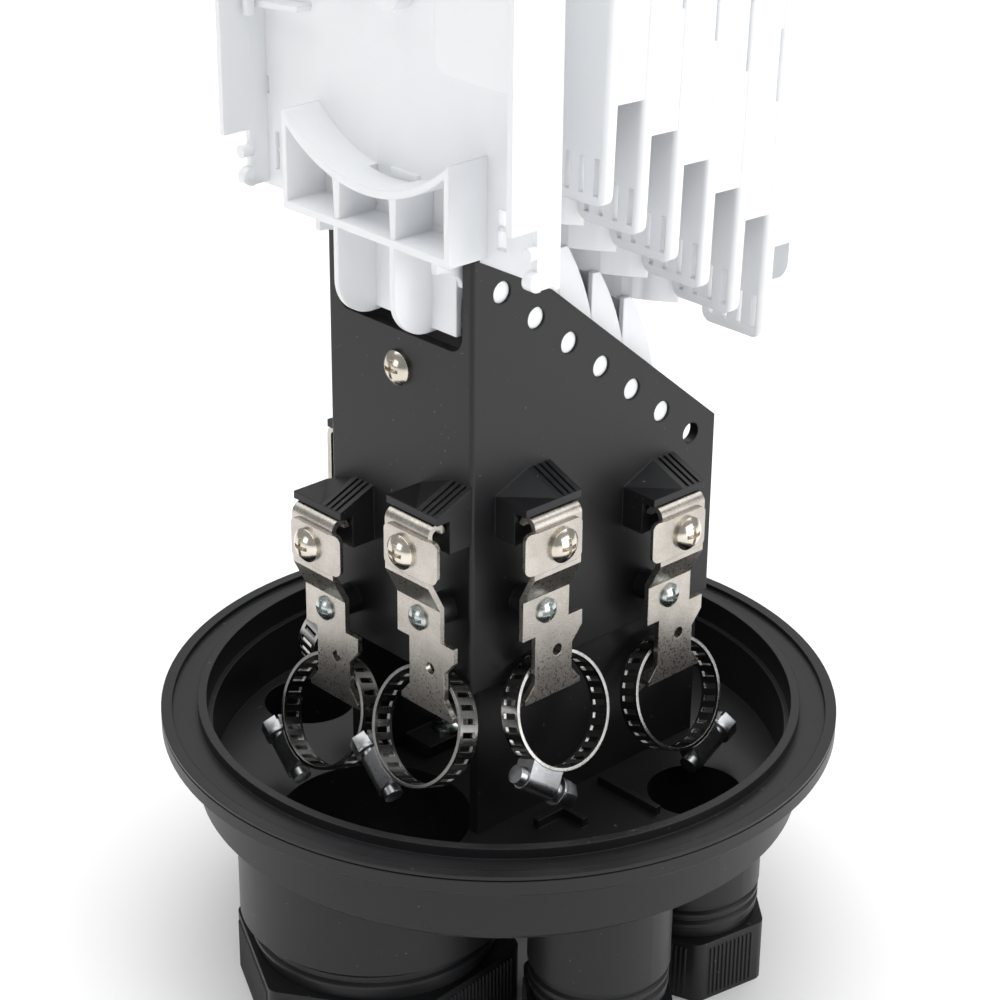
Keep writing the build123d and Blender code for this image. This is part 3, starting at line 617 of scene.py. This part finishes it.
def cradle_solids():
    """Open frame with a curved saddle on the front of the basket, and the fins below it."""
    depth = (cradle_front, plate_front + basket_wall / 2)
    half, base = cradle_half_width, cradle_bottom
    band = saddle_arc(0.0) + saddle_arc(saddle_bar)[::-1]
    solids = [outline_mesh(band, "y", *depth)]
    solids.append(block(-half, half, *depth, base, base + cradle_bar))
    for side in (1, -1):
        inner, outer = side * (half - basket_wall), side * half
        end = ((inner, base), (inner, saddle_high - saddle_bar), (outer, saddle_high - sink), (outer, base))
        solids.append(outline_mesh(end, "y", *depth))
        x = side * rib_x
        low, high = base + cradle_bar / 2, saddle_low
        rib = (
            (x - rib_half_bottom, low), (x + rib_half_bottom, low),
            (x + rib_half_top, high), (x - rib_half_top, high),
        )
        solids.append(outline_mesh(rib, "y", cradle_front + rib_setback, depth[1]))
        solids.append(outline_mesh(long_fin_outline(), "x", x - fin_half, x + fin_half))
        x = side * small_fin_x
        solids.append(outline_mesh(small_fin_outline(), "x", x - fin_half, x + fin_half))
    return solids


def basket_side_solids(side):
    """One side wall of the basket with its peg and foot, and the arm to the hinge."""
    outer, inner = side * basket_half_width, side * (basket_half_width - basket_wall)
    wall = (
        (basket_front, wall_step_z), (basket_front, basket_top), (basket_back, basket_top),
        (basket_back, wall_bottom), (wall_step_y, wall_bottom), (wall_step_y, wall_step_z),
    )
    solids = [outline_mesh(wall, "x", *sorted((outer, inner)))]
    middle = (outer + inner) / 2
    solids.append(rod("y", (middle, wall_peg_z), wall_peg_radius, wall_peg_end, wall_step_y + peg_root))
    radius = (wall_foot_top - wall_bottom) / 2
    nose = arc_points((wall_peg_end + radius, wall_bottom + radius), radius, 90, 270, nose_steps)
    root = wall_step_y + foot_root
    foot = nose + [(root, wall_bottom), (root, wall_foot_top)]
    solids.append(outline_mesh(foot, "x", middle - wall_foot_half, middle + wall_foot_half))
    ends = sorted((side * knuckle_inner_x, side * hub_half_width))
    solids.append(block(*ends, plate_front + flush, 0.0, -arm_half_height, arm_half_height))
    return solids


def basket_solids():
    """Plate, walls, pegs, hinge, raised block and small forms of the basket."""
    half = basket_half_width
    low, high = plate_bottom, plate_bottom_at_cheeks
    plate = (
        (-half, low), (-cheek_reach, low), (-cheek_reach, high), (cheek_reach, high),
        (cheek_reach, low), (half, low), (half, basket_top), (-half, basket_top),
    )
    solids = [outline_mesh(plate, "y", plate_front, basket_back)]
    solids.append(block(-half, half, basket_front, basket_back, basket_top - basket_wall, basket_top))
    hub = (
        (-hub_half_width, hub_bottom), (hub_half_width, hub_bottom),
        (hub_half_width, hub_top), (-hub_half_width, hub_top),
    )
    solids.append(outline_mesh(hub, "y", plate_front - flush, basket_back - flush))
    for side in (1, -1):
        solids += basket_side_solids(side)
    right, top, root = half - basket_wall / 2, basket_top - sink, plate_front + sink
    middle = (block_left + block_corner, block_bottom + block_corner)
    corner = arc_points(middle, block_corner, 180, 270, front_corner_steps)
    raised = corner + [(right, block_bottom), (right, top), (block_left, top)]
    solids.append(outline_mesh(raised, "y", basket_front + flush, root))
    solids.append(outline_mesh(ledge_outline, "y", ledge_front, root))
    solids.append(block(*ledge_stub))
    left, right, front, top = saddle_tab
    solids.append(block(left, right, front, root, cradle_bottom + cradle_bar / 2, top))
    x, z, radius, front = top_boss
    solids.append(rod("y", (x, z), radius, front, root))
    return solids + hinge_solids()


def basket_cuts():
    """Slots in the plate and the saddle of the basket."""
    cuts = []
    front, back = plate_front - overrun, basket_back + overrun
    bridge = (slot_bottom + slot_top) / 2
    windows = ((slot_bottom, bridge - slot_bridge / 2), (bridge + slot_bridge / 2, slot_top))
    for side in (1, -1):
        for x, width in slot_places:
            left, right = side * x - width / 2, side * x + width / 2
            for low, high in windows:
                cuts.append(block(left, right, front, back, low, high))
            recess = plate_front + slot_recess
            cuts.append(block(left, right, front, recess, slot_bottom - hair, slot_top + hair))
        x = side * (basket_half_width - basket_wall)
        cuts.append(block(*sorted((x, x - side * corner_slit_width)), front, back, *corner_slit))
    left, right, front = saddle_slot
    tab_left, _, tab_front, _ = saddle_tab
    level = (saddle_low - 2 * saddle_bar, saddle_high)
    cuts.append(block(left, tab_left, front, plate_front, *level))
    cuts.append(block(tab_left - hair, right, front, tab_front, *level))
    return cuts


def hinge_solids():
    """Knuckles and pins on the hinge axis."""
    solids = []
    for side in (1, -1):
        for radius, reach in ((knuckle_radius, knuckle_outer_x), (pin_radius, pin_end_x)):
            solids.append(rod("x", (0.0, 0.0), radius, *sorted((side * knuckle_inner_x, side * reach))))
    return solids


def tab_solids(side):
    """One tab below the side wall of a tray, and its returned edge."""
    inner, outer = tab_inner_x, tray_half_width
    bottom, plate_back = tab_bottom + tab_corner, tray_front + tray_wall
    tab = arc_points((inner + tab_corner, bottom), tab_corner, 180, 270, corner_steps)
    tab += arc_points((outer - tab_corner, bottom), tab_corner, 270, 360, corner_steps)
    tab += [(outer, tray_wall_bottom), (inner, tray_wall_bottom)]
    start = 360 - degrees(acos((tab_corner - tray_wall) / tab_corner))
    edge = arc_points((outer - tab_corner, bottom), tab_corner, start, 360, corner_steps)
    top = tray_wall_bottom + return_overlap
    edge += [(outer, top), (outer - tray_wall, top)]
    return [
        outline_mesh(mirrored(tab, side), "y", tray_front, plate_back),
        outline_mesh(mirrored(edge, side), "y", plate_back - return_root, tray_front + tab_return),
    ]


def shell_solids():
    """Plate above the tabs, two slotted tabs, side walls and top wall of a tray."""
    half, plate_back = tray_half_width, tray_front + tray_wall
    solids = [block(-half, half, tray_front, plate_back, bulge_top - tray_wall, tray_top)]
    solids.append(block(-half, half, tray_front, tray_back, tray_top - tray_wall, tray_top))
    recess_y, recess_low, recess_high = tray_recess
    wall = (
        (tray_front, tray_wall_bottom), (tray_back, tray_wall_bottom), (tray_back, recess_low),
        (recess_y, recess_low), (recess_y, recess_high), (tray_back, recess_high),
        (tray_back, tray_top), (tray_front, tray_top),
    )
    for side in (1, -1):
        solids.append(outline_mesh(wall, "x", *sorted((side * half, side * (half - tray_wall)))))
        solids += tab_solids(side)
    return solids


def shell_cuts():
    """Slots of the tabs, and what rounds the upright front corners."""
    cuts = []
    middle = (tray_half_width - front_corner_round, tray_front + front_corner_round)
    outside, before = tray_half_width + overrun, tray_front - overrun
    corner = arc_points(middle, front_corner_round, 270, 360, front_corner_steps)
    corner += [(outside, middle[1]), (outside, before), (middle[0], before)]
    for side in (1, -1):
        cuts.append(outline_mesh(mirrored(corner, side), "z", tab_bottom - overrun, tray_top + overrun))
        for place in tab_slot_places:
            x = side * (tab_inner_x + place)
            ends = (x - tab_slot_width / 2, x + tab_slot_width / 2)
            cuts.append(block(*ends, before, tray_front + tray_wall + overrun, *tab_slot_level))
    return cuts


def bulge_curve(inset):
    """Arc of the bulge between the tabs, drawn in by an inset."""
    plate_back = tray_front + tray_wall
    depth = plate_back - bulge_nose
    radius = (bulge_half_width ** 2 + depth ** 2) / (2 * depth)
    half = degrees(acos((radius - depth) / (radius - inset)))
    return arc_points((0.0, bulge_nose + radius), radius - inset, 270 - half, 270 + half, bulge_steps)


def web_curve(shift):
    """Curve of the web from the bulge to the hinge in the side view, set back by a shift."""
    (y0, z0), (y1, z1) = web_top, web_foot
    span = ((y1 - y0) ** 2 + (z1 - z0) ** 2) ** 0.5
    across, along = ((z0 - z1) / span, (y1 - y0) / span), ((y1 - y0) / span, (z1 - z0) / span)
    low = (web_radius ** 2 - span ** 2 / 4) ** 0.5
    points = []
    for step in range(web_steps + 1):
        run = span * (step / web_steps - 0.5)
        rise = (web_radius ** 2 - run ** 2) ** 0.5 - low
        y = (y0 + y1) / 2 + along[0] * run + across[0] * rise + shift
        z = (z0 + z1) / 2 + along[1] * run + across[1] * rise
        points.append((y, z))
    return points


def tray_solids():
    """Splice tray: shell, curved bulge between its tabs, web with two broad arms, and hinge."""
    solids = shell_solids()
    solids.append(outline_mesh(bulge_curve(0.0), "z", bulge_bottom, bulge_top))
    web = web_curve(0.0) + web_curve(web_wall)[::-1]
    solids.append(outline_mesh(web, "x", -web_half_width, web_half_width))
    front = [(y, z) for y, z in web_curve(-arm_depth) if z < arm_neck_z]
    arm = web_curve(arm_setback) + front[::-1] + [(web_top[0] - web_wall, web_top[1])]
    for side in (1, -1):
        ends = sorted((side * web_half_width, side * (web_half_width - arm_wall)))
        solids.append(outline_mesh(arm, "x", *ends))
    return solids + hinge_solids()


def tray_cuts():
    """Slots, the hollow of the bulge and the gap of the web between its arms."""
    hollow = outline_mesh(bulge_curve(tray_wall), "z", bulge_bottom - overrun, bulge_top - tray_wall)
    foot = block(-knuckle_inner_x, knuckle_inner_x, *web_gap)
    return shell_cuts() + [hollow, foot]


def cover_solids():
    """Rear cover: a tray's shell with ties that reach the last tray."""
    solids = shell_solids()
    levels = (tray_wall_bottom + tie_height / 2, tray_top - 3 * tie_height)
    for side in (1, -1):
        ends = sorted((side * tray_half_width, side * (tray_half_width - tray_wall)))
        ends += (tray_front - tie_half, tray_front + tie_half)
        for level in levels:
            solids.append(block(*ends, level, level + tie_height))
    return solids


def lug_solids():
    """Pair of rounded lugs inside the walls of the rear cover."""
    solids = []
    low, high = tray_wall_bottom - lug_reach, tray_wall_bottom + lug_reach
    front = tray_front + lug_front
    back = front + lug_length
    curve = arc_points((back - lug_round, low + lug_round), lug_round, 270, 360, corner_steps)
    outline = [(front, low)] + curve + [(back, high), (front, high)]
    for side in (1, -1):
        ends = sorted((side * (tray_half_width - tray_wall), side * (tray_half_width - 2 * tray_wall)))
        solids.append(outline_mesh(outline, "x", *ends))
    return solids


def add_carved(name, carving, place, finish, body):
    """Piece from a copy of a carved mesh in millimetres, set in its place in metres."""
    mesh = carving.copy()
    mesh.transform(place @ Matrix.Scale(MM, 4))
    mesh.shade_smooth()
    mesh.set_sharp_from_angle(angle=sharp_edge_angle)
    mesh.materials.clear()
    mesh.materials.append(finishes[finish])
    piece = bpy.data.objects.new(name, mesh)
    bpy.context.scene.collection.objects.link(piece)
    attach(piece, body)
    return piece


def tray_place(node):
    """Place and lean of a tray's hinge, from the box of its node of the frame."""
    _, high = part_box(node)
    reach = (tray_back * cos(tray_lean) + tray_top * sin(tray_lean)) * MM
    top = (tray_top * cos(tray_lean) - tray_front * sin(tray_lean)) * MM
    hinge = Vector((0.0, high[1] - reach, high[2] - top))
    return Matrix.Translation(hinge) @ Matrix.Rotation(-tray_lean, 4, "X")


def add_trays():
    """Trays and rear cover, standing for the plain ones of the frame."""
    tray = carved("tray", tray_solids(), tray_cuts(), tray_edge_round)
    for index in range(1, tray_count + 1):
        node = f"splice_tray_{index}"
        place, body = tray_place(node), f"tray_{index}"
        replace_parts(add_carved(f"tray_moulding_{index}", tray, place, "white", body), node)
    cover = carved("cover", cover_solids(), shell_cuts(), tray_edge_round)
    lugs = carved("lugs", lug_solids(), [], basket_edge_round)
    place, body = tray_place("rear_cover"), f"tray_{tray_count}"
    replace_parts(add_carved("cover_moulding", cover, place, "white", body), "rear_cover")
    # Lugs get the grey finish: painted shade, not a different plastic
    add_carved("cover_lugs", lugs, place, "shaded_grey", body)


def add_basket():
    """Storage basket with its open cradle, standing for the plain one of the frame."""
    low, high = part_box("storage_basket")
    basket = carved("basket", basket_solids() + cradle_solids(), basket_cuts(), basket_edge_round)
    place = Matrix.Translation(Vector((0.0, low[1] - basket_front * MM, high[2] - basket_top * MM)))
    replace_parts(add_carved("basket_moulding", basket, place, "white", "basket"), "storage_basket")


def add_worm_screw(index):
    """Slotted worm screw with a flange below its hexagon, standing for the plain one of the frame."""
    node = f"worm_screw_{index}"
    joint = next(found for found in frame["joints"] if found["name"] == f"worm_turn_{index}")
    turn = Vector(joint["axis"]).to_track_quat("Z", "Y").to_matrix().to_4x4()
    place = Matrix.Translation(Vector(joint["pos_m"])) @ turn
    corners = [place.inverted() @ vertex.co / MM for vertex in nodes[node].data.vertices]
    levels = sorted(corner.z for corner in corners)
    wide = [corner for corner in corners if corner.xy.length > worm_flats / 2 + corner_margin]
    head = sorted(corner.z for corner in wide)
    start = atan2(wide[0].y, wide[0].x)
    side = 1 if levels[-1] - head[-1] < head[0] - levels[0] else -1
    outer, inner = (head[-1], head[0]) if side > 0 else (head[0], head[-1])
    far = levels[0] if side > 0 else levels[-1]
    below = inner + side * worm_flange
    reach = worm_flats / 2 / cos(pi / 6)
    angles = [start + corner * pi / 3 for corner in range(6)]
    hexagon = [(reach * cos(angle), reach * sin(angle)) for angle in angles]
    solids = [
        outline_mesh(hexagon, "z", *sorted((inner, outer))),
        rod("z", (0.0, 0.0), reach - flange_gap, *sorted((inner, below))),
        rod("z", (0.0, 0.0), worm_radius, *sorted((far, below))),
    ]
    ends = sorted((outer - side * worm_slot_depth, outer + side * overrun))
    slot = block(-worm_slot_width / 2, worm_slot_width / 2, -worm_flats, worm_flats, *ends)
    screw = carved("screw", solids, [slot], worm_edge_round)
    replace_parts(add_carved(f"worm_steel_{index}", screw, place, "worm", f"worm_{index}"), node)


def add_floor():
    """Large pale floor below the glands."""
    mesh = bpy.data.meshes.new("floor")
    half = floor_half
    corners = [(-half, -half, 0), (half, -half, 0), (half, half, 0), (-half, half, 0)]
    mesh.from_pydata(corners, [], [(0, 1, 2, 3)])
    floor = bpy.data.objects.new("floor", mesh)
    bpy.context.scene.collection.objects.link(floor)
    mesh.materials.append(backdrop())


def add_area(name, place, target, size, power):
    """Soft rectangular light that looks at a target."""
    light = bpy.data.lights.new(name, "AREA")
    light.shape = "RECTANGLE"
    light.size, light.size_y = size
    light.energy = power
    thing = bpy.data.objects.new(name, light)
    bpy.context.scene.collection.objects.link(thing)
    thing.location = place
    thing.rotation_euler = (Vector(target) - Vector(place)).to_track_quat("-Z", "Y").to_euler()


def add_lights():
    """Studio: dim world, wide light overhead, soft light from the right and a weak one in front."""
    world = bpy.data.worlds.new("studio")
    bpy.context.scene.world = world
    world.use_nodes = True
    background = world.node_tree.nodes["Background"]
    background.inputs["Color"].default_value = (1.0, 1.0, 1.0, 1.0)
    background.inputs["Strength"].default_value = world_strength
    for light in lights:
        add_area(*light)


def add_camera():
    """Camera at the photograph's place and angle."""
    across = Vector((cos(camera_azimuth), sin(camera_azimuth), 0.0))
    back = Vector((
        sin(camera_azimuth) * cos(camera_elevation),
        -cos(camera_azimuth) * cos(camera_elevation),
        sin(camera_elevation),
    ))
    up = back.cross(across)
    right = cos(camera_roll) * across + sin(camera_roll) * up
    upright = -sin(camera_roll) * across + cos(camera_roll) * up
    camera = bpy.data.cameras.new("camera")
    camera.lens = camera_lens
    camera.sensor_width = sensor_width
    camera.shift_x, camera.shift_y = camera_shift
    camera.clip_start = camera_near
    thing = bpy.data.objects.new("camera", camera)
    bpy.context.scene.collection.objects.link(thing)
    turn = Matrix((right, upright, back)).transposed().to_4x4()
    thing.matrix_world = Matrix.Translation(camera_place) @ turn
    bpy.context.scene.camera = thing


dress_nodes()
for port in range(1, port_count + 1):
    add_thread(port)
    add_nut_ribs(port)
add_basket()
add_trays()
for screw in range(1, worm_count + 1):
    add_worm_screw(screw)
add_floor()
add_lights()
add_camera()
bpy.context.scene.view_settings.view_transform = "Standard"
